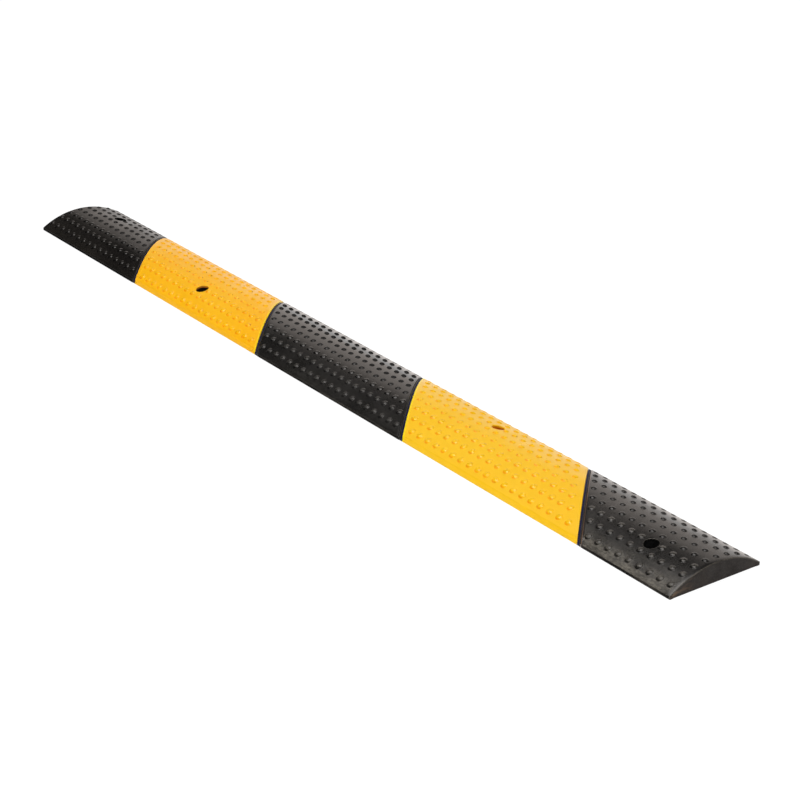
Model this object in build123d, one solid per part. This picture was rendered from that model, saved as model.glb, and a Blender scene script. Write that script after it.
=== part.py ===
from build123d import *
import os
from math import asin, cos, degrees, hypot, sin, sqrt

# Rubber speed bump, 1 m long: a low black core under five studded treads, black and yellow by turns.
# X runs along the bump, Y runs the way the traffic drives over it, and Z is up from the road.

# Driving dimensions, in millimetres
bump_length = 1000.0
bump_width = 100.0
dome_height = 18.5  # crest of the dome between the studs
lip_height = 3.0  # upright edge along both long sides
tread_thickness = 2.5
foot_width = 4.0  # tread that stands on the road beside the core
core_setback = 1.5  # the core ends this far inside the treads' end faces
stud_diameter = 6.4
stud_height = 0.8
land_margin = 0.3  # a row of studs stands on a narrow flat, this much wider on each side
end_margin = 7.5  # from an end face to the first column of studs
side_margin = 8.0  # from a long side to the first row of studs
strip_width = 3.0
strip_drop = 0.5  # strip below the treads' face
strip_inset = 1.0  # strip's ends behind the long sides
head_diameter = 13.0  # counterbore for a bolt head and its washer
bolt_diameter = 9.0  # clearance hole below the counterbore
seat_height = 6.0  # rubber left under the bolt head

# The stud pattern, counted from the -X end and from the front row
stud_columns = 87
stud_rows = 8
stud_sides = 6
joint_columns = [17, 37, 58, 78]  # studs of the front row that give way to a joint, one column less a row
joint_places = [17.1, 37.4, 57.55, 78.0]  # where the joints' middle lines cross the front row, in columns
bolt_columns = [5.0, 25.35, 62.65, 83.0]
bolt_rows = [6.1, 2.9, 6.1, 2.9]

# The treads, each moulded with its own stud pattern
tread_names = [
    "black_tread_far",
    "yellow_tread_far",
    "black_tread_middle",
    "yellow_tread_near",
    "black_tread_near",
]
tread_middles = [8, 23, 44, 64, 82]  # the column about which a pattern is spread
tread_spreads = [1.03, 1.0, 0.982, 1.005, 1.02]
tread_shifts = [-0.03, 0.25, -0.03, -0.44, -0.1]  # along the bump, in columns
tread_backs = [0.11, 0.0, 0.0, 0.125, 0.0]  # away from the front, in rows

# Sizes that follow
half_width = bump_width / 2
dome_rise = dome_height - lip_height
dome_radius = (dome_rise**2 + half_width**2) / (2 * dome_rise)
dome_centre = dome_height - dome_radius
half_land = (stud_diameter / 2 + land_margin) / dome_radius  # angle from a flat's middle to its edge
stud_root = stud_height / 5  # how deep a stud is rooted in its tread
column_pitch = (bump_length - 2 * end_margin) / (stud_columns - 1)
row_pitch = (bump_width - 2 * side_margin) / (stud_rows - 1)
joint_slope = column_pitch / row_pitch  # how far a joint runs along -X for each step back along +Y
joint_stretch = hypot(1, joint_slope)  # width along X for each unit of width square to a joint
core_half_width = half_width - foot_width
core_radius = dome_radius - tread_thickness
core_side = dome_centre + sqrt(core_radius**2 - core_half_width**2)
core_crest = dome_height - tread_thickness
strip_half_width = half_width - strip_inset
strip_radius = dome_radius - strip_drop
strip_side = dome_centre + sqrt(strip_radius**2 - strip_half_width**2)
plan_reach = bump_width  # the plan outlines run this far past the long sides


def column_x(column):
    """X of a column of studs, the first one being 1."""
    return -bump_length / 2 + end_margin + (column - 1) * column_pitch


def row_y(row):
    """Y of a row of studs, row 1 at the front."""
    return -half_width + side_margin + (row - 1) * row_pitch


def row_lean(row):
    """Angle from upright, in radians, of a row's studs, which stand square to the dome."""
    return asin(row_y(row) / dome_radius)


def on_dome(lean, radius=dome_radius):
    """Y and Z of the point at a lean on a circle about the dome's axis."""
    return radius * sin(lean), dome_centre + radius * cos(lean)


def dome_arc(start, end):
    """The dome's arc between two leans."""
    return ThreePointArc(on_dome(start), on_dome((start + end) / 2), on_dome(end))


def joint_x(joint_place, y):
    """X of a joint's middle line at Y."""
    return column_x(joint_place) - (y - row_y(1)) * joint_slope


def arched_section(half, side, crest):
    """Outline of an arch over the road: upright sides, then one arc over the crest."""
    return [
        Line((-half, 0), (-half, side)),
        ThreePointArc((-half, side), (0, crest), (half, side)),
        Line((half, side), (half, 0)),
    ]


def studded_section(back):
    """Outline of a tread's face: an arch with a narrow flat under each row of studs."""
    outline = [
        Line((-half_width, 0), (-half_width, lip_height)),
        Line((half_width, lip_height), (half_width, 0)),
    ]
    edge_lean = asin(half_width / dome_radius)
    arc_start = -edge_lean
    for row in range(1, stud_rows + 1):
        flat_start = row_lean(row + back) - half_land
        flat_end = row_lean(row + back) + half_land
        outline.append(dome_arc(arc_start, flat_start))
        outline.append(Line(on_dome(flat_start), on_dome(flat_end)))
        arc_start = flat_end
    outline.append(dome_arc(arc_start, edge_lean))
    return outline


def along_bump(outline, length):
    """Extrudes an outline in Y and Z along the bump, centred on the origin."""
    face = Plane.YZ * make_face(outline)
    return extrude(face, amount=length / 2, both=True)


def covering(outline, half):
    """The full-length cover between an outer arch, given with its half width, and the core."""
    feet = [
        Line((-half, 0), (-core_half_width, 0)),
        Line((core_half_width, 0), (half, 0)),
    ]
    inner = arched_section(core_half_width, core_side, core_crest)
    return along_bump(outline + feet + inner, bump_length)


def plan_prism(left, right):
    """An upright prism between two plan lines, each given by its X at the front and at the back."""
    corners = [
        (left[0], -plan_reach),
        (right[0], -plan_reach),
        (right[1], plan_reach),
        (left[1], plan_reach),
    ]
    return extrude(make_face(Polyline(*corners, close=True)), amount=2 * dome_height)


def joint_line(joint_place, offset):
    """X at the front and the back of a line beside a joint, at a distance square to it."""
    shift = offset * joint_stretch
    return [joint_x(joint_place, y) + shift for y in (-plan_reach, plan_reach)]


def bolt_hole(column, row):
    """What a bolt takes away: the counterbore for its head and the clearance hole for its shank."""
    place = Pos(column_x(column), row_y(row), 0)
    shank = Cylinder(bolt_diameter / 2, 4 * dome_height)
    head = Pos(0, 0, seat_height) * Cylinder(
        head_diameter / 2, 2 * dome_height, align=(Align.CENTER, Align.CENTER, Align.MIN)
    )
    return place * (shank + head)


def stud():
    """One low stud standing on the XY plane, rooted below it, with its point on Z."""
    root_radius = stud_diameter / 2 * (stud_height + stud_root) / stud_height
    base = Pos(0, 0, -stud_root) * RegularPolygon(root_radius, stud_sides)
    return loft([base.face(), Vertex(0, 0, stud_height)])


def tread_studs(tread):
    """The studs of one tread, each square to the dome."""
    middle = tread_middles[tread]
    studs = []
    for row in range(1, stud_rows + 1):
        lean = row_lean(row + tread_backs[tread])
        y, z = on_dome(lean, dome_radius * cos(half_land))
        tilt = Rot(X=-degrees(lean))
        for column in range(end_columns[tread] - row + 2, end_columns[tread + 1] - row + 1):
            inside = 1 <= column <= stud_columns
            if inside and (column, row) not in bolt_studs:
                place = middle + (column - middle) * tread_spreads[tread] + tread_shifts[tread]
                studs.append(Pos(column_x(place), y, z) * tilt * one_stud)
    return studs


one_stud = stud()
bolt_places = list(zip(bolt_columns, bolt_rows))
bolt_holes = [bolt_hole(column, row) for column, row in bolt_places]
bolt_studs = [(round(column), round(row)) for column, row in bolt_places]  # studs that give way to bolts

core = along_bump(
    [Line((-core_half_width, 0), (core_half_width, 0))]
    + arched_section(core_half_width, core_side, core_crest),
    bump_length - 2 * core_setback,
)
nodes = {"rubber_core": core - bolt_holes}

# Treads: the cover cut at the joints, which run on the diagonal of the stud pattern
end_columns = [-stud_columns] + joint_columns + [3 * stud_columns]
end_places = [-stud_columns] + joint_places + [3 * stud_columns]
for tread, name in enumerate(tread_names):
    cover = covering(studded_section(tread_backs[tread]), half_width)
    left = joint_line(end_places[tread], strip_width / 2)
    right = joint_line(end_places[tread + 1], -strip_width / 2)
    nodes[name] = (cover & plan_prism(left, right)) + tread_studs(tread) - bolt_holes

# Joint strips: narrow black strips in the slots between the treads, a little below their face
strip_cover = covering(
    arched_section(strip_half_width, strip_side, dome_height - strip_drop), strip_half_width
)
for number, joint in enumerate(joint_places, start=1):
    slot = plan_prism(joint_line(joint, -strip_width / 2), joint_line(joint, strip_width / 2))
    nodes[f"joint_strip_{number}"] = strip_cover & slot

os.makedirs("parts", exist_ok=True)
for name, shape in nodes.items():
    export_step(shape, f"parts/{name}.step")
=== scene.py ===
import random
from math import asin, atan2, cos, hypot, pi, radians, sin, sqrt

import bmesh
import bpy
from mathutils import Matrix, Vector


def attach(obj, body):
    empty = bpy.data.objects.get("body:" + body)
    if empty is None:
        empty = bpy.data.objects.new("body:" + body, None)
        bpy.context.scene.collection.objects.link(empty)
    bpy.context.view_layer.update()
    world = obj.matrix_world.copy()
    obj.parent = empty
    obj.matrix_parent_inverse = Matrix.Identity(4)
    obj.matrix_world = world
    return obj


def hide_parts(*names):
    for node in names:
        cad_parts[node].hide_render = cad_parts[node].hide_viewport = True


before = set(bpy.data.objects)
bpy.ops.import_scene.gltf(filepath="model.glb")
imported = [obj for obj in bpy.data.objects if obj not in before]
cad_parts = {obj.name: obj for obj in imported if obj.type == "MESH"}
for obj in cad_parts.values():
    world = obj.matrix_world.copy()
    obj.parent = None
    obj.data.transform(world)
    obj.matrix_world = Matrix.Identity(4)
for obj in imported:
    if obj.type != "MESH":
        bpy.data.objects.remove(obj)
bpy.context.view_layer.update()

# Rubber speed bump: a core, five studded treads and four joint strips, all drawn over the solids' sizes.
# X runs along the bump, Y runs the way the traffic drives over it, and Z is up from the road.

# Sizes of the solids, in millimetres
bump_length = 1000.0
bump_width = 100.0
dome_height = 18.5
lip_height = 3.0
tread_thickness = 2.5
foot_width = 4.0
stud_diameter = 6.4
end_margin = 7.5  # from an end to the nearest column of studs
side_margin = 8.0  # from a long side to the nearest row of studs
strip_width = 3.0
strip_drop = 0.5  # how far the strips lie below the treads' face
head_diameter = 13.0  # of the bolt holes' counterbores

# Places in the grid of studs, in columns and rows
stud_columns = 87
stud_rows = 8
joint_columns = [17, 37, 58, 78]  # studs of the front row that give way to a joint, one column less a row
joint_places = [17.1, 37.4, 57.55, 78.0]  # where the joints' middle lines cross the front row
bolt_columns = [5.0, 25.35, 62.65, 83.0]
bolt_rows = [6.1, 2.9, 6.1, 2.9]
tread_middles = [8, 23, 44, 64, 82]  # the column about which a tread's stud pattern is spread
tread_spreads = [1.03, 1.0, 0.982, 1.005, 1.02]
tread_shifts = [-0.03, 0.25, -0.03, -0.44, -0.1]  # along the bump
tread_backs = [0.11, 0.0, 0.0, 0.125, 0.0]  # away from the front

# What the drawn shapes add, in millimetres
crest_drop = 0.4  # how much lower the dome's crest is drawn, to leave its studs room
stud_heights = [1.1, 1.1, 1.05, 1.09, 1.17]  # of the front five rows
rear_stud_heights = [1.0, 1.1, 1.5, 1.1, 1.3]  # of each tread's sixth and seventh rows
back_stud_heights = [0.45, 0.45, 0.2, 0.5, 0.65]  # of each tread's last row
stud_widths = [1.0, 1.0, 1.0, 0.88, 0.85, 0.83, 0.83, 0.83]  # shares of the studs' diameter, row by row
stud_power = 0.75  # above a half, a stud's foot is softer than an ellipsoid's
stud_rings = [0.9, 1.6, 2.15, 2.55, 2.85, 3.1]  # radii of the rings of points on a stud
foot_shares = [0.04, 0.14]  # where the rings round a stud's foot lie, from the stud to its cell's border
cell_steps = 5  # points along each side of a stud's cell
first_corner = radians(225)  # from +X to a cell's first corner, about its stud
joint_round = 0.55  # rounding of the treads' ends at the joints
end_rounds = {-1: 0.8, 1: 1.0}  # rounding of the bump's two ends
side_round = 0.5  # rounding where the face turns down into the lip
soft_side_round = 2.0  # the same on the yellow treads
soft_side_slope = radians(30)  # how far the yellow treads' lips lean in
foot_round = 0.4
round_steps = 3
lip_share = 0.4  # how much of an end's rounding the upright lips take
inner_gap = 0.03  # between a tread and the core
inner_line = 38.5  # Y of a line of points outside the bolt holes' patches
patch_reach = 10.5  # half the patch round a bolt hole in a tread's inner face
patch_steps = 5
rim_round = 0.45  # rounding of a bolt hole's rim
soft_rim_round = 1.1  # the same on the near yellow tread's, which is narrower below its rim
hole_waist = 0.6  # the face's points keep this far from a hole, so that the studs beside it clear them
ledge_drop = 1.3  # low side of a joint strip, next to the yellow tread
lip_ledge_drop = 0.6  # the same where the strip runs down the lips
ridge_share = 0.45  # how much of a strip's width its high side takes
strip_gap = 0.12  # beside a strip
strip_inset = 0.2  # how far a strip's ends lie behind the lips
strip_round = 0.3
strip_clearance = 0.1  # between a strip and the core at the crest
core_setback = 0.3  # how far the drawn core's ends lie behind the treads' ends
tolerance = 0.01
key_digits = 3  # places that are the same to this many digits are one point
key_shift = 0.000123  # keeps places off the limits of that rounding

# Marks on the points, which the materials read
plain_sides = {1: -1, 3: 1}  # on which a yellow tread has no painted highlight along its joint, by its number
dull_side = radians(255)  # the side of a stud, about its axis from +X, that takes painted shade, turned away from the light
dull_radius = 2.0  # inside this a stud has no painted shade
speck_turns = (-0.3, 0.6)  # between which turns from +X a stud's speck lies
speck_reach = 0.25  # half the turn that a speck takes
speck_radius = 2.4  # inside this a stud has no speck
foot_limit = 0.1  # where both end, from the stud to its cell's border
side_edge_lightening = 0.6  # how much the edge above the lips is lightened, where other edges have 1
far_gap = 30.0  # distances from a joint or an end aren't told apart beyond this
least_gap = 0.001  # the least such distance, since 0 means not measured

# Order of the materials on a tread and on a strip
tread_face, tread_end, tread_lip = range(3)
strip_ridge, strip_ledge = range(2)

# Sizes that follow
MM = 0.001
half_length = bump_length / 2
half_width = bump_width / 2
solid_rise = dome_height - lip_height
solid_radius = (solid_rise**2 + half_width**2) / (2 * solid_rise)
inner_radius = solid_radius - tread_thickness + inner_gap
inner_centre = dome_height - solid_radius
dome_rise = solid_rise - crest_drop
dome_radius = (dome_rise**2 + half_width**2) / (2 * dome_rise)
dome_centre = dome_height - crest_drop - dome_radius
core_half_width = half_width - foot_width
column_pitch = (bump_length - 2 * end_margin) / (stud_columns - 1)
row_pitch = (bump_width - 2 * side_margin) / (stud_rows - 1)
joint_slope = column_pitch / row_pitch
joint_stretch = hypot(1, joint_slope)
stud_radius = stud_diameter / 2
hole_radius = head_diameter / 2
last_columns = {-1: 0, 1: stud_columns}  # whose right-hand corners lie at the ends
end_columns = [None] + joint_columns + [None]
end_places = [None] + joint_places + [None]


def column_x(column):
    """X of a column of studs, the first one being 1."""
    return -half_length + end_margin + (column - 1) * column_pitch


def row_y(row):
    """Y of a row of studs, row 1 at the front."""
    return -half_width + side_margin + (row - 1) * row_pitch


def joint_x(joint_place, y):
    """X of a joint's middle line at Y."""
    return column_x(joint_place) - (y - row_y(1)) * joint_slope


# The middle of each bolt hole, by the column and row of the stud that gives way to it
bolt_middles = {}
for column, row in zip(bolt_columns, bolt_rows):
    bolt_middles[round(column), round(row)] = column_x(column), row_y(row)
dark_hole = bolt_middles[25, 3]  # the far yellow tread's, darkened all the way up its wall
orange_hole = bolt_middles[63, 6]  # the near yellow tread's, stained by its yellow, deepened to orange as painted shade


def between(start, end, share):
    """The point at a share of the way from one point to another."""
    return tuple(a + (b - a) * share for a, b in zip(start, end))


def polar(place, middle):
    """Direction and distance of a plan point from a middle."""
    x, y = place[0] - middle[0], place[1] - middle[1]
    return atan2(y, x), hypot(x, y)


def dome_z(y, radius=dome_radius):
    """Z of a circle about the dome's axis at Y."""
    return dome_centre + sqrt(radius**2 - y**2)


def inner_z(y):
    """Z of the treads' inner face at Y."""
    return inner_centre + sqrt(inner_radius**2 - y**2)


def on_face(x, y, lift=0.0):
    """The point of the treads' face above a plan point, lifted square to the face."""
    lean = asin(y / dome_radius)
    radius = dome_radius + lift
    return x, radius * sin(lean), dome_centre + radius * cos(lean)


def stud_rise(distance):
    """Share of its height that a stud has at a distance from its axis."""
    share = min(distance / stud_radius, 1.0)
    return (1 - share**2) ** stud_power


def rounded_side(half, radius, rounding, slope=0.0):
    """Y, Z and outward direction of the points down the +Y side: rounded edge, lip and foot."""
    reach = half * cos(slope) - dome_centre * sin(slope) - rounding
    start = asin(reach / (radius - rounding)) - slope
    middle = (radius - rounding) * sin(start)
    middle_z = dome_z(middle, radius - rounding)
    section = []
    for step in range(round_steps + 1):
        turn = start + (pi / 2 - slope - start) * step / round_steps
        out = (sin(turn), cos(turn))
        section.append((middle + rounding * out[0], middle_z + rounding * out[1], out))
    foot_middle = half - foot_round * (1 + sin(slope)) / cos(slope)
    for step in range(round_steps):
        turn = (pi / 2 + slope) * step / (round_steps - 1) - slope
        out = (cos(turn), -sin(turn))
        section.append((foot_middle + foot_round * out[0], foot_round * (1 + out[1]), out))
    return section


# Y of the lines of points on the treads' inner face, with a patch of them about each bolt hole
inner_patch = [patch_reach * (2 * k / patch_steps - 1) for k in range(patch_steps + 1)]
bolt_line = abs(row_y(bolt_rows[0]))
inner_half = [bolt_line + reach for reach in inner_patch] + [inner_line, core_half_width]
inner_stations = [-y for y in reversed(inner_half)] + inner_half


class Shell:
    """Points and faces of one piece, in millimetres. Points in one place are one point."""

    def __init__(self):
        self.points = []
        self.faces = []
        self.found = {}
        self.marks = {"stud": [], "dull": [], "edge": [], "speck": [], "joint_gap": [], "end_gap": []}
        self.kind = 0  # which of the piece's materials the next faces take
        self.kinds = []

    def point(self, place, **marks):
        """The number of the point at a place, which is made if there is none."""
        key = tuple(round(value + key_shift, key_digits) for value in place)
        if key not in self.found:
            self.found[key] = len(self.points)
            self.points.append(place)
            for name, values in self.marks.items():
                values.append(marks.get(name, 0.0))
        return self.found[key]

    def face(self, corners):
        """A face, unless fewer than three different points are left of it."""
        ring = [corner for k, corner in enumerate(corners) if corner != corners[k - 1]]
        if len(ring) > 2:
            self.faces.append(ring)
            self.kinds.append(self.kind)

    def strip(self, one, two):
        """Faces between two rows of as many points."""
        for k in range(len(one) - 1):
            self.face([one[k], one[k + 1], two[k + 1], two[k]])

    def loop(self, one, two):
        """Faces between two closed rings of as many points."""
        self.strip(one[-1:] + one, two[-1:] + two)

    def zipper(self, one, two, one_at, two_at):
        """Triangles between two rows whose points don't match, in the order of their given places."""
        a = b = 0
        while a < len(one) - 1 or b < len(two) - 1:
            first_moves = b == len(two) - 1
            if not first_moves and a < len(one) - 1:
                first_moves = one_at[a + 1] < two_at[b + 1]
            if first_moves:
                self.face([one[a], one[a + 1], two[b]])
                a += 1
            else:
                self.face([one[a], two[b + 1], two[b]])
                b += 1


def side_points(start, end, middle=None):
    """Plan points from one cell corner up to the next: straight, or round the middle of a bolt hole."""
    shares = [k / cell_steps for k in range(cell_steps)]
    if middle is None:
        return [between(start, end, share) for share in shares]
    first, first_reach = polar(start, middle)
    last, last_reach = polar(end, middle)
    turn = (last - first + pi) % (2 * pi) - pi
    waist = hole_radius + hole_waist
    points = []
    for share in shares:
        corner_reach = first_reach + (last_reach - first_reach) * share
        reach = corner_reach + (waist - corner_reach) * 4 * share * (1 - share)
        angle = first + turn * share
        points.append((middle[0] + reach * cos(angle), middle[1] + reach * sin(angle)))
    return points


class Tread:
    """One studded tread between two joints, or between a joint and an end of the bump."""

    def __init__(self, number, rounding, slope, speck_shares):
        self.side = rounded_side(half_width, dome_radius, rounding, slope)
        self.face_line = self.side[0][0]  # where the dome ends and the rounded edge begins
        self.joints = {-1: end_columns[number], 1: end_columns[number + 1]}
        self.places = {-1: end_places[number], 1: end_places[number + 1]}
        self.rounds = {}
        for side in (-1, 1):
            self.rounds[side] = end_rounds[side] if self.joints[side] is None else joint_round
        self.middle = tread_middles[number]
        self.spread = tread_spreads[number]
        self.shift = tread_shifts[number]
        self.back = tread_backs[number]
        self.heights = stud_heights + [rear_stud_heights[number]] * 2 + [back_stud_heights[number]]
        self.speck_shares = speck_shares
        self.chance = random.Random(number)
        self.shell = Shell()
        self.hole_feet = {}
        for row in range(1, stud_rows + 1):
            for column in self.columns(row):
                if (column, row) in bolt_middles:
                    self.hole_cell(column, row)
                else:
                    self.stud_cell(column, row)
            for side in (-1, 1):
                if self.joints[side] is not None:
                    self.half_cell(side, row)
        front = self.band(-1)
        back = self.band(1)
        inner = self.inner_face()
        points = self.shell.points
        for outside, inside in ((front[-1], inner[0]), (back[-1], inner[-1])):
            outside_at = [points[k][0] for k in outside]
            inside_at = [points[k][0] for k in inside]
            self.shell.zipper(outside, inside, outside_at, inside_at)
        for side in (-1, 1):
            self.end_wall(side, front, back, inner)
        for side in (-1, 1):
            if plain_sides.get(number) != side:
                self.mark_gaps(side)

    def mark_gaps(self, side):
        """Marks each point with its distance from the joint or the end on one side, in millimetres."""
        shell = self.shell
        joint = self.joints[side] is not None
        gaps = shell.marks["joint_gap" if joint else "end_gap"]
        for index, (x, y, _) in enumerate(shell.points):
            gap = side * (self.wall_x(side, y, 0.0) - x) / (joint_stretch if joint else 1.0)
            gaps[index] = min(gaps[index] or far_gap, max(gap, least_gap), far_gap)

    def stud_x(self, column):
        """X of a column of this tread's studs."""
        return column_x(self.middle + (column - self.middle) * self.spread + self.shift)

    def stud_y(self, row):
        """Y of a row of this tread's studs."""
        return row_y(row + self.back)

    def columns(self, row):
        """Columns of the whole cells in a row."""
        first, last = self.joints[-1], self.joints[1]
        start = 1 if first is None else first - row + 2
        stop = stud_columns if last is None else last - row
        return range(start, stop + 1)

    def wall_x(self, side, y, inside=None):
        """X of a line inside the end wall on one side (-1 or 1), else of where its rounding begins."""
        if inside is None:
            inside = self.rounds[side]
        if self.places[side] is None:
            return side * (half_length - inside)
        return joint_x(self.places[side], y) - side * (strip_width / 2 + inside) * joint_stretch

    def corner(self, column, row):
        """Plan point of the grid's corner behind a stud and to its right."""
        y = {0: -self.face_line, stud_rows: self.face_line}.get(row, self.stud_y(row + 0.5))
        for side, joint in self.joints.items():
            if column + row == joint or joint is None and column == last_columns[side]:
                return self.wall_x(side, y), y
        return self.stud_x(column + 0.5), y

    def cell_border(self, column, row):
        """Plan points round a cell, from its front left corner."""
        steps = [(-1, -1), (0, -1), (0, 0), (-1, 0)]
        corners = [self.corner(column + along, row + back) for along, back in steps]
        beside = [(column, row - 1), (column + 1, row), (column, row + 1), (column - 1, row)]
        border = []
        for k in range(4):
            middle = bolt_middles.get((column, row)) or bolt_middles.get(beside[k])
            border += side_points(corners[k], corners[(k + 1) % 4], middle)
        return border

    def stud_cell(self, column, row):
        """One stud and the face round it."""
        shell = self.shell
        middle_x, middle_y = self.stud_x(column), self.stud_y(row)
        lean = asin(middle_y / dome_radius)
        border = self.cell_border(column, row)
        count = len(border)
        specked = self.chance.random() < self.speck_shares[row - 1]
        speck_turn = self.chance.uniform(*speck_turns)
        height = self.heights[row - 1]
        top = shell.point(on_face(middle_x, middle_y, height), stud=1.0)
        previous = [top] * count
        stations = [(radius, 0.0) for radius in stud_rings]
        stations += [(stud_rings[-1], share) for share in foot_shares]
        for ring_radius, out_share in stations:
            rise = 0.0 if out_share else stud_rise(ring_radius)
            radius = ring_radius * stud_widths[row - 1]
            can_be_dull = ring_radius > dull_radius and out_share < foot_limit
            has_speck = specked and ring_radius > speck_radius and out_share < foot_limit
            ring = []
            for k in range(count):
                angle = first_corner + 2 * pi * k / count
                x = middle_x + radius * cos(angle)
                y = dome_radius * sin(lean + radius * sin(angle) / dome_radius)
                x, y = between((x, y), border[k], out_share)
                off = abs((angle - speck_turn + pi) % (2 * pi) - pi)
                speck = 1.0 if has_speck and off < speck_reach else 0.0
                # Painted shade on the stud's side turned away from the light
                dull = max(cos(angle - dull_side), 0.0) if can_be_dull else 0.0
                place = on_face(x, y, rise * height)
                ring.append(shell.point(place, stud=rise, speck=speck, dull=dull))
            shell.loop(previous, ring)
            previous = ring
        shell.loop(previous, [shell.point(on_face(*place)) for place in border])

    def half_cell(self, side, row):
        """The bare half of a cell beside a joint."""
        shell = self.shell
        column = self.joints[side] - row + 1
        back_left = self.corner(column - 1, row)
        front_right = self.corner(column, row - 1)
        square = self.corner(column, row) if side < 0 else self.corner(column - 1, row - 1)
        rows = []
        for step in range(cell_steps + 1):
            start = between(square, back_left, step / cell_steps)
            end = between(square, front_right, step / cell_steps)
            places = [between(start, end, k / max(step, 1)) for k in range(step + 1)]
            rows.append([shell.point(on_face(*place)) for place in places])
        for one, two in zip(rows[:-1], rows[1:]):
            for k in range(len(one)):
                shell.face([one[k], two[k], two[k + 1]])
                if k + 1 < len(one):
                    shell.face([one[k], two[k + 1], one[k + 1]])

    def hole_cell(self, column, row):
        """A bolt hole with a rounded rim, down to the tread's inner face."""
        shell = self.shell
        middle = bolt_middles[column, row]
        border = self.cell_border(column, row)
        rounding = soft_rim_round if middle == orange_hole else rim_round
        ring = [shell.point(on_face(*place)) for place in border]
        for step in range(round_steps + 2):
            turn = min(pi / 2 * step / round_steps, pi / 2)
            radius = hole_radius + rim_round - rounding * sin(turn)
            edge = 1.0 if 0 < step < round_steps else 0.0
            wall = 1.0 if step >= round_steps else 0.0
            dark_wall = wall if middle == dark_hole else 0.0
            next_ring = []
            for place in border:
                _, reach = polar(place, middle)
                x, y = between(middle, place, radius / reach)
                z = inner_z(y) if step > round_steps else dome_z(y) - rounding * (1 - cos(turn))
                # The hole's wall takes painted shade
                next_ring.append(shell.point((x, y, z), edge=edge, dull=wall, speck=dark_wall))
            shell.loop(ring, next_ring)
            ring = next_ring
        self.hole_feet[column, row] = ring

    def border(self, row):
        """Plan points of the face's front (0) or back border, from -X to +X."""
        columns = list(self.columns(max(row, 1)))
        if row == 0 and self.joints[1] is not None:
            columns.append(self.joints[1])
        if row > 0 and self.joints[-1] is not None:
            columns.insert(0, self.joints[-1] - stud_rows + 1)
        points = []
        for column in columns:
            points += side_points(self.corner(column - 1, row), self.corner(column, row))
        return points + [self.corner(columns[-1], row)]

    def band(self, way):
        """Rows of points down the front (-1) or back (1) side, each from -X to +X."""
        shell = self.shell
        border = self.border(0 if way < 0 else stud_rows)
        shears = [0 if self.joints[side] is None else joint_slope for side in (-1, 1)]
        left, right = border[0][0], border[-1][0]
        foot = [(core_half_width, 0.0, (0, -1))]
        rows = []
        for station, (y, z, _) in enumerate(self.side + foot):
            edge = side_edge_lightening if 0 < station < round_steps else 0.0
            row = []
            for x, _ in border:
                share = (x - left) / (right - left)
                shear = shears[0] + (shears[1] - shears[0]) * share
                place = (x - shear * way * (y - self.face_line), way * y, z)
                row.append(shell.point(place, edge=edge))
            rows.append(row)
        for station, (one, two) in enumerate(zip(rows[:-1], rows[1:])):
            shell.kind = tread_lip if station >= round_steps else tread_face
            shell.strip(one, two)
        shell.kind = tread_face
        return rows

    def inner_face(self):
        """Rows of points on the face that lies on the core, from front to back."""
        shell = self.shell
        shares = [0.0, 1.0]
        patches = []
        for hole, feet in self.hole_feet.items():
            x, y = bolt_middles[hole]
            left, right = self.wall_x(-1, y), self.wall_x(1, y)
            lines = [(x + reach - left) / (right - left) for reach in inner_patch]
            shares = sorted(shares + lines)
            patch_front = y - patch_reach - tolerance
            first_station = min(k for k, at in enumerate(inner_stations) if at > patch_front)
            patches.append((shares.index(lines[0]), first_station, feet))
        rows = []
        for y in inner_stations:
            left, right = self.wall_x(-1, y), self.wall_x(1, y)
            z = inner_z(y)
            rows.append([shell.point((left + (right - left) * share, y, z)) for share in shares])
        for station, (one, two) in enumerate(zip(rows[:-1], rows[1:])):
            for line in range(len(shares) - 1):
                places = [(line - i, station - j) for i, j, _ in patches]
                if not any(0 <= a < patch_steps and 0 <= b < patch_steps for a, b in places):
                    shell.face([one[line], one[line + 1], two[line + 1], two[line]])
        for i, j, feet in patches:
            last_line, last_station = i + patch_steps, j + patch_steps
            ring = [rows[j][i + k] for k in range(patch_steps)]
            ring += [rows[j + k][last_line] for k in range(patch_steps)]
            ring += [rows[last_station][last_line - k] for k in range(patch_steps)]
            ring += [rows[last_station - k][i] for k in range(patch_steps)]
            shell.loop(feet, ring)
        return rows

    def end_wall(self, side, front, back, inner):
        """The rounded edge and the wall at a joint or at an end of the bump."""
        shell = self.shell
        joint = self.joints[side]
        plan = []
        for row in range(1, stud_rows + 1):
            column = joint - row + 1 if joint is not None else last_columns[side]
            behind = column - 1 if joint is not None else column
            start, end = self.corner(column, row - 1), self.corner(behind, row)
            plan += side_points(start, end)
        plan.append(end)
        at = 0 if side < 0 else -1
        ring = []
        outs = []
        for x, y in plan:
            lean = asin(y / dome_radius)
            ring.append(shell.point(on_face(x, y)))
            outs.append((sin(lean), cos(lean)))
        down = [(out[0] * lip_share, max(out[1], 0.0)) for _, _, out in self.side[1:]] + [(0, 0)]
        ring += [row[at] for row in back[1:]]
        outs += down
        ring += [row[at] for row in reversed(inner)]
        outs += [(0, 0)] * len(inner)
        ring += [row[at] for row in reversed(front[1:])]
        outs += [(-out[0], out[1]) for out in reversed(down)]
        start = list(ring)
        for step in range(1, round_steps + 1):
            turn = pi / 2 * step / round_steps
            inset = self.rounds[side] * (1 - cos(turn))
            inside = self.rounds[side] * (1 - sin(turn))
            next_ring = []
            for number, (index, out) in enumerate(zip(start, outs)):
                _, y, z = shell.points[index]
                y -= inset * out[0]
                z -= inset * out[1]
                place = (self.wall_x(side, y, inside), y, z)
                edge = 1.0 if step < round_steps and number < len(plan) else 0.0
                next_ring.append(shell.point(place, edge=edge))
            shell.loop(ring, next_ring)
            ring = next_ring
        arch, side_count = len(plan), len(down)
        outside = ring[-side_count:] + ring[: arch + side_count]
        inside = list(reversed(ring[arch + side_count : -side_count]))
        outside_at = [-1.0] * side_count + [y / half_width for _, y in plan] + [1.0] * side_count
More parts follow.
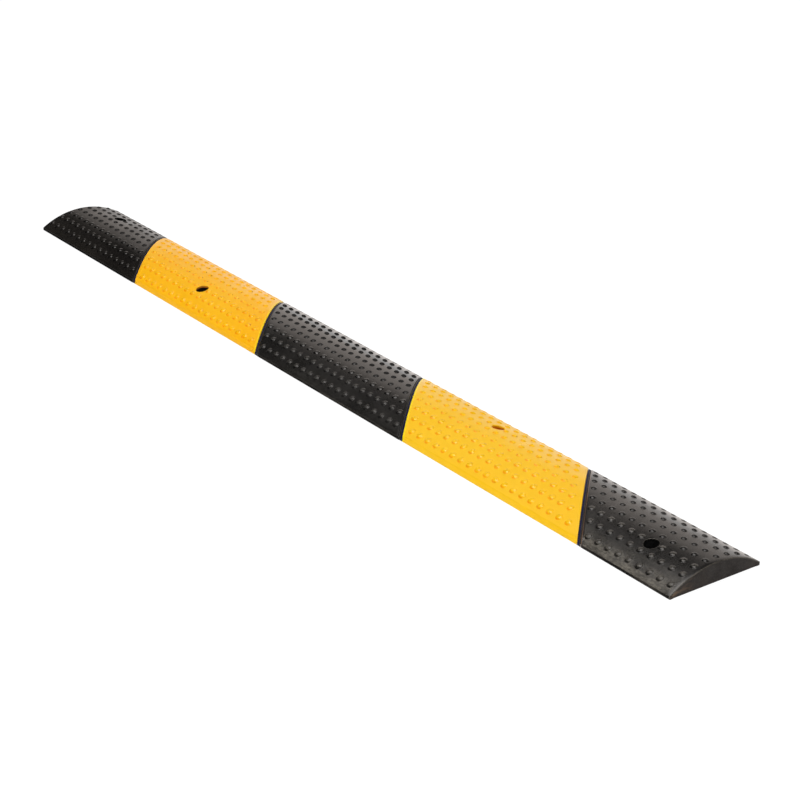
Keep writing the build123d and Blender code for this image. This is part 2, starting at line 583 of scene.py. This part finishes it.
        inside_at = [shell.points[k][1] / core_half_width for k in inside]
        shell.kind = tread_end if joint is None else tread_face
        shell.zipper(outside, inside, outside_at, inside_at)
        shell.kind = tread_face


def strip_shell(joint_place, yellow_side):
    """One joint strip over the arch: a high side by the black tread, a low ledge by the yellow one."""
    shell = Shell()
    radius = dome_radius - strip_drop
    outer = rounded_side(half_width - strip_inset, radius, side_round)
    edge_y = outer[0][0]
    arch = []
    steps = stud_rows * cell_steps
    for k in range(1, steps):
        y = edge_y * (2 * k / steps - 1)
        lean = asin(y / radius)
        arch.append((y, dome_z(y, radius), (sin(lean), cos(lean))))
    front = [(-y, z, (-out[0], out[1])) for y, z, out in reversed(outer)]
    path = front + arch + outer
    half = strip_width / 2 - strip_gap
    step_at = half * (1 - 2 * ridge_share)
    ledge = ledge_drop - strip_drop
    bottom = tread_thickness - strip_drop - crest_drop - strip_clearance
    section = [
        (half, bottom),
        (half, strip_round),
        (half - strip_round, 0.0),
        (step_at + strip_round, 0.0),
        (step_at, strip_round),
        (step_at, ledge),
        (-half, ledge),
        (-half, bottom),
    ]
    ledge_sides = (5, 6, 7)  # the step down, the ledge and its outer side
    rings = []
    for y, z, out in path:
        ring = []
        for place, depth in section:
            if depth == ledge and abs(y) > edge_y + tolerance:
                depth = lip_ledge_drop - strip_drop
            low_y = y - depth * out[0]
            low_z = max(z - depth * out[1], 0.0)
            offset = -yellow_side * place * joint_stretch
            ring.append(shell.point((joint_x(joint_place, low_y) + offset, low_y, low_z)))
        rings.append(ring)
    for one, two in zip(rings[:-1], rings[1:]):
        for k in range(len(section)):
            shell.kind = strip_ledge if k in ledge_sides else strip_ridge
            shell.face([one[k - 1], one[k], two[k], two[k - 1]])
    shell.kind = strip_ridge
    shell.face(rings[0])
    shell.face(rings[-1])
    return shell


# Relief in the materials: depths in metres, and the waves' share of the grain's strength
wave_scale = 160
wave_share = 0.6
wave_depth = 0.0004
grain_depth = 0.00012
line_depth = 0.0002


class Nodes:
    """The node tree of a material or a world, emptied, with short ways to add to it."""

    def __init__(self, owner, coordinates="Object"):
        owner.use_nodes = True
        self.owner = owner
        self.tree = owner.node_tree
        self.tree.nodes.clear()
        self.place = self.make("ShaderNodeTexCoord", output=coordinates)

    def feed(self, socket, value):
        """Sets a socket to a value, or links an output to it."""
        if isinstance(value, bpy.types.NodeSocket):
            self.tree.links.new(value, socket)
        else:
            socket.default_value = value

    def make(self, kind, inputs=None, output=0, **settings):
        """Adds a node with these inputs and settings, and gives one of its outputs."""
        node = self.tree.nodes.new(kind)
        for name, value in settings.items():
            setattr(node, name, value)
        for name, value in (inputs or {}).items():
            self.feed(node.inputs[name], value)
        return node.outputs[output]

    def end(self, kind, surface):
        """Ends the tree in an output node."""
        self.feed(self.tree.nodes.new(kind).inputs["Surface"], surface)

    def noise(self, scale, detail=3.0, roughness=0.55, stretch=None):
        source = self.place
        if stretch is not None:
            source = self.make("ShaderNodeMapping", {"Vector": source, "Scale": stretch}, "Vector")
        inputs = {"Vector": source, "Scale": scale, "Detail": detail, "Roughness": roughness}
        return self.make("ShaderNodeTexNoise", inputs, "Fac")

    def ramp(self, value, low, high, start=0.0, end=1.0):
        """A smooth step: start up to low, and end from high on."""
        inputs = {"Value": value, "From Min": low, "From Max": high, "To Min": start, "To Max": end}
        return self.make("ShaderNodeMapRange", inputs, "Result", interpolation_type="SMOOTHSTEP")

    def pattern(self, scale, low, high, start=0.0, end=1.0, **looks):
        """A noise of a scale, made into a pattern by a smooth step."""
        return self.ramp(self.noise(scale, **looks), low, high, start, end)

    def band(self, value, low, high, soft):
        """One between two limits and nothing outside them, with soft borders."""
        above = self.ramp(value, low - soft, low)
        return self.product(above, self.ramp(value, high, high + soft, 1.0, 0.0))

    def mark(self, name):
        """What the points are marked with under a name."""
        return self.make("ShaderNodeAttribute", output="Fac", attribute_name=name)

    def axis(self, name):
        return self.make("ShaderNodeSeparateXYZ", {0: self.place}, name)

    def ray(self, name):
        """One for rays of a kind, and nothing for others."""
        return self.make("ShaderNodeLightPath", output=name)

    def in_plan(self):
        """The place with its height taken out."""
        return self.make("ShaderNodeMapping", {"Vector": self.place, "Scale": (1, 1, 0)}, "Vector")

    def vector(self, operation, one, two=(0, 0, 0), output="Value"):
        return self.make("ShaderNodeVectorMath", {0: one, 1: two}, output, operation=operation)

    def math(self, operation, first, *others):
        """Values taken together one after another."""
        for other in others:
            first = self.make("ShaderNodeMath", {0: first, 1: other}, operation=operation)
        return first

    def product(self, *values):
        return self.math("MULTIPLY", *values)

    def mix(self, share, one, two, blend="MIX"):
        inputs = {0: share, 6: one, 7: two}
        return self.make("ShaderNodeMix", inputs, 2, data_type="RGBA", blend_type=blend)

    def bump(self, height, strength, distance, under=None):
        inputs = {"Height": height, "Strength": strength, "Distance": distance}
        if under is not None:
            inputs["Normal"] = under
        return self.make("ShaderNodeBump", inputs, "Normal")

    def grain(self, scale, strength):
        """Fine grain over soft waves, as rubber has from its mould."""
        waves = self.bump(self.noise(wave_scale, detail=2.0), strength * wave_share, wave_depth)
        return self.bump(self.noise(scale), strength, grain_depth, waves)

    def rubber(self, colour, roughness, normal, specular, sheen=(1, 1, 1, 1)):
        """Ends the tree in one Principled shader, and gives the material."""
        inputs = {
            "Base Color": colour,
            "Roughness": roughness,
            "Normal": normal,
            "Specular IOR Level": specular,
            "Specular Tint": sheen,
        }
        self.end("ShaderNodeOutputMaterial", self.make("ShaderNodeBsdfPrincipled", inputs))
        return self.owner


def grey(level):
    """A colour without hue."""
    return level, level, level, 1


# Colours of what lies on the rubber, and of the shade painted on it
line_black = grey(0.003)
deepest_black = grey(0.002)
end_black = grey(0.006)
lightened_edge_grey = (0.1, 0.088, 0.073, 1)
rust_brown = (0.14, 0.06, 0.027, 1)
speck_brown = (0.3, 0.085, 0.02, 1)
lip_dust = (0.075, 0.066, 0.056, 1)
core_smear = (0.055, 0.045, 0.037, 1)
corner_tan = (0.17, 0.115, 0.075, 1)
hole_orange = (0.85, 0.27, 0.006, 1)

# Where the looks change across the bump, in metres: Z for the dust, and else Y
dusty_heights = (0.014, 0.004)
black_back = (-0.016, 0.0)
black_scuffs = (-0.008, -0.017)
black_front = (-0.008, -0.03)
yellow_depth = (-0.012, 0.014)
yellow_back = (-0.004, 0.012)
yellow_front = (-0.014, -0.004)
core_corner = (-0.02, -0.046)
hole_edge = (0.008, 0.007)  # from a bolt hole's axis


def black_rubber(
    name, dark, light, dust, dust_share, gloss, front_haze, stud_haze_and_shade, specular,
    stud_dust=0.0, scuffs=0.0, edge_lightening=0.12, rust_share=0.0,
):
    """Black moulded rubber: mottled, dusty low on its sides, with fine lines along its ends, and painted
    shade on its studs.
    """
    nodes = Nodes(bpy.data.materials.new(name))
    across = nodes.axis("Y")
    stud = nodes.mark("stud")
    colour = nodes.mix(nodes.pattern(22, 0.35, 0.7, detail=4.0), dark, light)
    speckle = nodes.pattern(1500, 0.3, 0.75, 0.75, 1.3, detail=2.0)
    mottle = nodes.pattern(450, 0.3, 0.7, 0.6, 1.4, roughness=0.6)
    for shades in (speckle, mottle):
        colour = nodes.mix(1.0, colour, shades, "MULTIPLY")
    # Dust in smears, streaks and flecks that run along the bump
    dusty = nodes.product(
        nodes.ramp(nodes.axis("Z"), *dusty_heights),
        nodes.ramp(stud, 0.0, 0.1, 1.0, stud_dust),
        nodes.pattern(9, 0.3, 0.62, 0.0, dust_share, detail=5.0, roughness=0.65, stretch=(1.0, 4.0, 4.0)),
        nodes.pattern(200, 0.32, 0.62, 0.45, 1.12, detail=4.0, roughness=0.65, stretch=(0.25, 1.0, 1.0)),
        nodes.pattern(800, 0.35, 0.65, 0.5, 1.3, roughness=0.6, stretch=(0.4, 1.0, 1.0)),
    )
    colour = nodes.mix(dusty, colour, dust)
    # Studs: painted near-black at the back, as shade in place of the dark they mirror there; scuffed in
    # front; and painted shade on their side turned away from the light
    raised_at_back = nodes.product(nodes.ramp(stud, 0.0, 0.12), nodes.ramp(across, *black_back))
    stud_shade = min(2 * stud_haze_and_shade, 1.0)
    colour = nodes.mix(nodes.product(raised_at_back, stud_shade), colour, line_black)
    scuffed = nodes.product(
        nodes.ramp(across, *black_scuffs),
        nodes.ramp(stud, 0.25, 0.6),
        nodes.pattern(900, 0.4, 0.6, 0.0, scuffs, roughness=0.6),
    )
    colour = nodes.mix(scuffed, colour, dust)
    # Painted shade, near-black, on the studs' side turned away from the light and down the bolt holes'
    # walls
    painted_lee_shade = nodes.ramp(nodes.mark("dull"), 0.3, 0.85, 0.0, 0.85)
    colour = nodes.mix(painted_lee_shade, colour, deepest_black)
    # Lighter grey along the rounded edges, rust and a dark line along a joint, and a shade along an end
    lightened_edge = nodes.product(nodes.mark("edge"), nodes.pattern(60, 0.3, 0.75, 0.3 * edge_lightening, edge_lightening))
    colour = nodes.mix(lightened_edge, colour, lightened_edge_grey)
    joint_gap = nodes.mark("joint_gap")
    rust_patches = nodes.pattern(35, 0.3, 0.6, 0.25 * rust_share, rust_share)
    rust = nodes.product(nodes.band(joint_gap, 0.0, 0.8, 0.2), rust_patches)
    colour = nodes.mix(rust, colour, rust_brown)
    line = nodes.band(joint_gap, 1.1, 1.7, 0.25)
    colour = nodes.mix(nodes.product(line, 0.8), colour, line_black)
    end_shade = nodes.product(nodes.band(nodes.mark("end_gap"), 1.9, 2.9, 0.9), 0.6)
    colour = nodes.mix(end_shade, colour, end_black)
    roughness = nodes.math(
        "ADD",
        nodes.pattern(45, 0.3, 0.7, gloss, gloss + 0.1, detail=4.0),
        nodes.ramp(across, *black_front, 0.0, front_haze),
        nodes.product(raised_at_back, stud_haze_and_shade),
        nodes.product(scuffed, 0.45),
    )
    normal = nodes.bump(nodes.math("SUBTRACT", 1.0, line), 0.6, line_depth, nodes.grain(2200, 0.16))
    return nodes.rubber(colour, roughness, normal, specular, sheen=(1, 0.95, 0.92, 1))


def yellow_rubber(name, main, pale, deep, joint_highlight):
    """Yellow moulded rubber: patches of tone, deepened round the studs as painted shade, with a painted
    highlight along a joint, specked.
    """
    nodes = Nodes(bpy.data.materials.new(name))
    across = nodes.axis("Y")
    stud = nodes.mark("stud")
    raised = nodes.ramp(stud, 0.0, 0.06)
    colour = nodes.mix(nodes.pattern(14, 0.35, 0.7, detail=4.0), main, pale)
    # Painted shade: the yellow deepened round the studs' feet, on their side turned away from the light
    # and down the bolt holes' walls; grime adds random patches of the same tone
    root = nodes.product(nodes.ramp(stud, 0.02, 0.45, 0.3, 0.0), raised)
    shade = nodes.ramp(across, *yellow_depth, 0.7, 0.4)
    shaded = nodes.product(nodes.ramp(nodes.mark("dull"), 0.1, 0.8), shade)
    grime = nodes.pattern(420, 0.68, 0.8, 0.0, 0.3, detail=4.0, roughness=0.7)
    for share in (root, shaded, grime):
        colour = nodes.mix(share, colour, deep)
    speck = nodes.ramp(nodes.mark("speck"), 0.25, 0.75, 0.0, 0.65)
    colour = nodes.mix(speck, colour, speck_brown)
    # Painted highlight along a joint
    colour = nodes.mix(nodes.band(nodes.mark("joint_gap"), -0.5, 1.4, 0.4), colour, joint_highlight)
    # Glossier between the studs at the back, and on them in front
    roughness = nodes.math(
        "ADD",
        nodes.pattern(50, 0.3, 0.7, 0.4, 0.55, detail=4.0),
        nodes.product(nodes.ramp(across, *yellow_back), nodes.ramp(raised, 0.0, 1.0, -0.13, 0.42)),
        nodes.product(raised, nodes.ramp(across, *yellow_front, -0.2, 0.0)),
    )
    return nodes.rubber(colour, roughness, nodes.grain(2000, 0.1), specular=0.3)


def lip_rubber(name, dark, scuffs):
    """The black of the upright lips, with little gloss, scuffed in places."""
    nodes = Nodes(bpy.data.materials.new(name))
    scuffed = nodes.pattern(60, 0.42, 0.7, 0.0, scuffs, detail=4.0, roughness=0.6, stretch=(0.4, 1.0, 1.0))
    colour = nodes.mix(scuffed, dark, lip_dust)
    roughness = nodes.pattern(90, 0.3, 0.7, 0.75, 0.95)
    return nodes.rubber(colour, roughness, nodes.grain(1600, 0.25), specular=0.06)


def strip_rubber(name, dark, light, specular):
    """Dull mottled rubber of the joint strips."""
    nodes = Nodes(bpy.data.materials.new(name))
    colour = nodes.mix(nodes.pattern(300, 0.3, 0.7), dark, light)
    roughness = nodes.pattern(120, 0.3, 0.7, 0.5, 0.65)
    return nodes.rubber(colour, roughness, nodes.grain(1800, 0.15), specular)


def core_rubber(name, dark, light):
    """Coarse rubber with crumbs in it, tan dust in its front corners, and bolt holes darkened inside, the
    near yellow tread's orange: its yellow stain deepened as painted shade.
    """
    nodes = Nodes(bpy.data.materials.new(name))
    crumbs = nodes.pattern(700, 0.35, 0.7, detail=4.0, roughness=0.7)
    colour = nodes.mix(crumbs, dark, light)
    colour = nodes.mix(nodes.pattern(40, 0.45, 0.75, 0.0, 0.6, detail=4.0), colour, core_smear)
    streaks = nodes.pattern(120, 0.4, 0.65, detail=4.0, roughness=0.6, stretch=(1.0, 0.5, 3.0))
    corner_dust = nodes.product(nodes.ramp(nodes.axis("Y"), *core_corner, 0.0, 0.9), streaks)
    colour = nodes.mix(corner_dust, colour, corner_tan)
    # Bolt holes darkened inside; the near yellow tread's orange, its yellow stain deepened as painted
    # shade
    for x, y in bolt_middles.values():
        inside = hole_orange if (x, y) == orange_hole else deepest_black
        distance = nodes.vector("DISTANCE", nodes.in_plan(), (x * MM, y * MM, 0))
        colour = nodes.mix(nodes.ramp(distance, *hole_edge), colour, inside)
    roughness = nodes.pattern(90, 0.3, 0.7, 0.6, 0.8)
    return nodes.rubber(colour, roughness, nodes.grain(1400, 0.35), specular=0.25)


far_black = black_rubber(
    "far_black",
    dark=(0.0075, 0.0068, 0.0062, 1),
    light=(0.0125, 0.0112, 0.01, 1),
    dust=(0.03, 0.025, 0.02, 1),
    dust_share=0.25,
    gloss=0.23,
    front_haze=-0.12,
    stud_haze_and_shade=0.38,
    specular=0.27,
)
middle_black = black_rubber(
    "middle_black",
    dark=(0.0062, 0.006, 0.0056, 1),
    light=(0.0118, 0.0112, 0.0104, 1),
    dust=(0.045, 0.042, 0.037, 1),
    dust_share=0.3,
    stud_dust=0.5,
    scuffs=0.75,
    gloss=0.08,
    front_haze=0.17,
    stud_haze_and_shade=0.62,
    specular=0.4,
)
near_black = black_rubber(
    "near_black",
    dark=(0.012, 0.0115, 0.0108, 1),
    light=(0.025, 0.0233, 0.0215, 1),
    dust=(0.155, 0.141, 0.116, 1),
    dust_share=0.75,
    stud_dust=0.7,
    scuffs=0.3,
    edge_lightening=0.85,
    rust_share=0.6,
    gloss=0.17,
    front_haze=0.07,
    stud_haze_and_shade=0.12,
    specular=0.35,
)
# The deep tone is the yellow in painted shade and also its random grime; the other tone is a painted
# highlight along a joint
far_tones = {"deep": (0.93, 0.28, 0.003, 1), "joint_highlight": (0.97, 0.62, 0.003, 1)}
near_tones = {"deep": (0.92, 0.31, 0.004, 1), "joint_highlight": (0.97, 0.7, 0.003, 1)}
far_yellow = yellow_rubber(
    "far_yellow", main=(0.97, 0.47, 0.001, 1), pale=(0.97, 0.5, 0.004, 1), **far_tones
)
near_yellow = yellow_rubber(
    "near_yellow", main=(0.93, 0.525, 0.004, 1), pale=(0.93, 0.54, 0.009, 1), **near_tones
)
# The lips' yellows are lighter copies of their treads' yellows: painted light on the upright lips, which
# the lamps light less than the faces
far_lip_yellow = yellow_rubber(
    "far_lip_yellow", main=(1, 0.5, 0.007, 1), pale=(1, 0.52, 0.013, 1), **far_tones
)
near_lip_yellow = yellow_rubber(
    "near_lip_yellow", main=(0.99, 0.575, 0.01, 1), pale=(0.99, 0.59, 0.018, 1), **near_tones
)
strip_black = strip_rubber(
    "strip_black", dark=(0.018, 0.0172, 0.0165, 1), light=(0.036, 0.034, 0.032, 1), specular=0.3
)
ledge_navy = strip_rubber(
    "ledge_navy", dark=(0.006, 0.0095, 0.045, 1), light=(0.009, 0.0135, 0.062, 1), specular=0.1
)
lip_black = lip_rubber("lip_black", dark=(0.01, 0.0094, 0.0085, 1), scuffs=0.8)
# Painted shade: the far lip is far darker than its tread's face
far_lip_black = lip_rubber("far_lip_black", dark=grey(0.001), scuffs=0.0)
core_black = core_rubber("core_black", dark=(0.015, 0.0132, 0.012, 1), light=(0.034, 0.029, 0.0262, 1))

# Pieces
sharp_angle = radians(50)


def add_object(name, data):
    """A new object in the scene."""
    made = bpy.data.objects.new(name, data)
    bpy.context.scene.collection.objects.link(made)
    return made


def make_piece(node, shell, materials):
    """Turns a shell into a piece that rides on the part, and hides the part's node that it is drawn for.
    """
    name = "drawn_" + node
    mesh = bpy.data.meshes.new(name)
    mesh.from_pydata([(x * MM, y * MM, z * MM) for x, y, z in shell.points], [], shell.faces)
    working = bmesh.new()
    working.from_mesh(mesh)
    bmesh.ops.recalc_face_normals(working, faces=working.faces)
    working.to_mesh(mesh)
    working.free()
    for mark, values in shell.marks.items():
        mesh.attributes.new(mark, "FLOAT", "POINT").data.foreach_set("value", values)
    mesh.polygons.foreach_set("material_index", shell.kinds)
    mesh.shade_smooth()
    mesh.set_sharp_from_angle(angle=sharp_angle)
    for material in materials:
        mesh.materials.append(material)
    piece = add_object(name, mesh)
    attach(piece, "root")
    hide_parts(node)


# Each tread's node, material, lip's material and slot, and the share of its studs with a speck, by row
no_specks = [0.0] * stud_rows
far_specks = [0.05, 0.08, 0.2, 0.4, 0.4, 0.25, 0.05, 0.0]
near_specks = [0.03, 0.02, 0.02, 0.04, 0.1, 0.16, 0.12, 0.04]
treads = [
    ("black_tread_far", far_black, far_lip_black, "black_rubber", no_specks),
    ("yellow_tread_far", far_yellow, far_lip_yellow, "yellow_rubber", far_specks),
    ("black_tread_middle", middle_black, lip_black, "black_rubber", no_specks),
    ("yellow_tread_near", near_yellow, near_lip_yellow, "yellow_rubber", near_specks),
    ("black_tread_near", near_black, lip_black, "black_rubber", no_specks),
]
for number, (node, material, lip, slot, speck_shares) in enumerate(treads):
    rounding, slope = (side_round, 0.0) if slot == "black_rubber" else (soft_side_round, soft_side_slope)
    shell = Tread(number, rounding, slope, speck_shares).shell
    make_piece(node, shell, [material, core_black, lip])

yellow_sides = [1, -1, 1, -1]  # on which side of each joint the yellow tread is
for number, (joint_place, yellow_side) in enumerate(zip(joint_places, yellow_sides), start=1):
    shell = strip_shell(joint_place, yellow_side)
    make_piece(f"joint_strip_{number}", shell, [strip_black, ledge_navy])

# The core is drawn from its solid, with its ends moved out
core_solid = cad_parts["rubber_core"]
core_shell = Shell()
solid_points = [core_solid.matrix_world @ vertex.co / MM for vertex in core_solid.data.vertices]
core_end = max(point.x for point in solid_points)
for polygon in core_solid.data.polygons:
    corners = []
    for index in polygon.vertices:
        x, y, z = solid_points[index]
        if abs(x) > core_end - tolerance:
            x = (half_length - core_setback) * (1 if x > 0 else -1)
        corners.append(core_shell.point((x, y, z)))
    core_shell.face(corners)
make_piece("rubber_core", core_shell, [core_black])

# Floor: pale under the light, and white to the camera, gloss and glass, with the object's shadow on it
floor_reach = 40.0
floor_level = -0.0002
floor_grey = grey(0.9)
shadow_grey = grey(0.14)  # what the shadow falls on, over the glow
glow_distances = (0.8, 3.0)  # from the middle of the bump
glow_levels = (0.93, 1.0)
white = grey(1)
mirrored_floor = (1, 0.93, 0.89, 1)  # the floor's colour in the rubber's gloss
floor_mesh = bpy.data.meshes.new("floor")
floor_corners = [(-1, -1), (1, -1), (1, 1), (-1, 1)]
floor_points = [(x * floor_reach, y * floor_reach, floor_level) for x, y in floor_corners]
floor_mesh.from_pydata(floor_points, [], [(0, 1, 2, 3)])
floor = add_object("floor", floor_mesh)
floor_paint = bpy.data.materials.new("floor_paint")
floor_mesh.materials.append(floor_paint)
nodes = Nodes(floor_paint)
glossy = nodes.ray("Is Glossy Ray")
glow_inputs = {
    "Color": nodes.mix(glossy, white, mirrored_floor),
    "Strength": nodes.ramp(nodes.vector("LENGTH", nodes.place), *glow_distances, *glow_levels),
}
glow = nodes.make("ShaderNodeEmission", glow_inputs)
thin = nodes.make("ShaderNodeBsdfDiffuse", {"Color": shadow_grey})
seen = nodes.make("ShaderNodeAddShader", {0: thin, 1: glow})
unseen = nodes.make("ShaderNodeBsdfDiffuse", {"Color": floor_grey})
looking = nodes.math("MAXIMUM", nodes.ray("Is Camera Ray"), glossy, nodes.ray("Is Transmission Ray"))
nodes.end("ShaderNodeOutputMaterial", nodes.make("ShaderNodeMixShader", {0: looking, 1: unseen, 2: seen}))

# World: a dim room with a white horizon and a tall white backdrop behind the bump
backdrop_azimuth = radians(118)  # from +X towards +Y
backdrop_edges = (cos(radians(48)), cos(radians(31)))  # from its middle, outside and inside
backdrop_top = (0.47, 0.69)  # heights are sines of the elevation
horizon_top = (0.02, 0.07)
warm_from = (0.07, 0.12)
warm_white = (1, 0.91, 0.85, 1)
dim_level = 0.05
world = bpy.data.worlds.new("studio")
bpy.context.scene.world = world
nodes = Nodes(world, "Generated")
height = nodes.axis("Z")
level_way = nodes.vector("NORMALIZE", nodes.in_plan(), output="Vector")
backdrop_way = (cos(backdrop_azimuth), sin(backdrop_azimuth), 0)
towards = nodes.vector("DOT_PRODUCT", level_way, backdrop_way)
backdrop = nodes.product(nodes.ramp(towards, *backdrop_edges), nodes.ramp(height, *backdrop_top, 1.0, 0.0))
horizon = nodes.ramp(height, *horizon_top, 1.0, dim_level)
sky_inputs = {
    "Color": nodes.mix(nodes.ramp(height, *warm_from), white, warm_white),
    "Strength": nodes.math("MAXIMUM", backdrop, horizon),
}
nodes.end("ShaderNodeOutputWorld", nodes.make("ShaderNodeBackground", sky_inputs))

# Lamps
lamp_aim = Vector((0, 0, 0))


def lamp(name, place, width, height, power, mirrored=True):
    """A rectangular soft light at a place, turned towards the bump. Gloss mirrors it or leaves it out."""
    light = bpy.data.lights.new(name, "AREA")
    light.shape = "RECTANGLE"
    light.size = width
    light.size_y = height
    light.energy = power
    holder = add_object(name, light)
    holder.location = place
    holder.rotation_euler = (lamp_aim - Vector(place)).to_track_quat("-Z", "Y").to_euler()
    holder.visible_glossy = mirrored


lamp("overhead", place=(0.0, -0.35, 2.7), width=2.4, height=1.6, power=66)
lamp("fill", place=(3.2, -0.3, 2.0), width=1.5, height=1.5, power=30)
lamp("front", place=(0.6, -3.2, 0.5), width=1.5, height=0.9, power=21, mirrored=False)

# Camera: the place and turn at which the solids' studs and outline fall on the photograph's
focal_pixels = 1955.5399
picture_pixels = 800
camera_azimuth = radians(51.5674)
camera_elevation = radians(24.0194)
camera_roll = radians(-2.38)
camera_aim = Vector((0.1092313, -0.00991, 0.010))
camera_distance = 1.7886161
level = cos(camera_elevation)
back = Vector((sin(camera_azimuth) * level, -cos(camera_azimuth) * level, sin(camera_elevation)))
level_right = Vector((0, 0, 1)).cross(back).normalized()
level_up = back.cross(level_right)
right = cos(camera_roll) * level_right - sin(camera_roll) * level_up
up = sin(camera_roll) * level_right + cos(camera_roll) * level_up
camera_data = bpy.data.cameras.new("camera")
camera_data.sensor_fit = "HORIZONTAL"
camera_data.sensor_width = 36.0
camera_data.lens = focal_pixels / picture_pixels * camera_data.sensor_width
camera = add_object("camera", camera_data)
turn = Matrix((right, up, back)).transposed().to_4x4()
camera.matrix_world = Matrix.Translation(camera_aim + back * camera_distance) @ turn
bpy.context.scene.camera = camera

bpy.context.scene.view_settings.view_transform = "Standard"
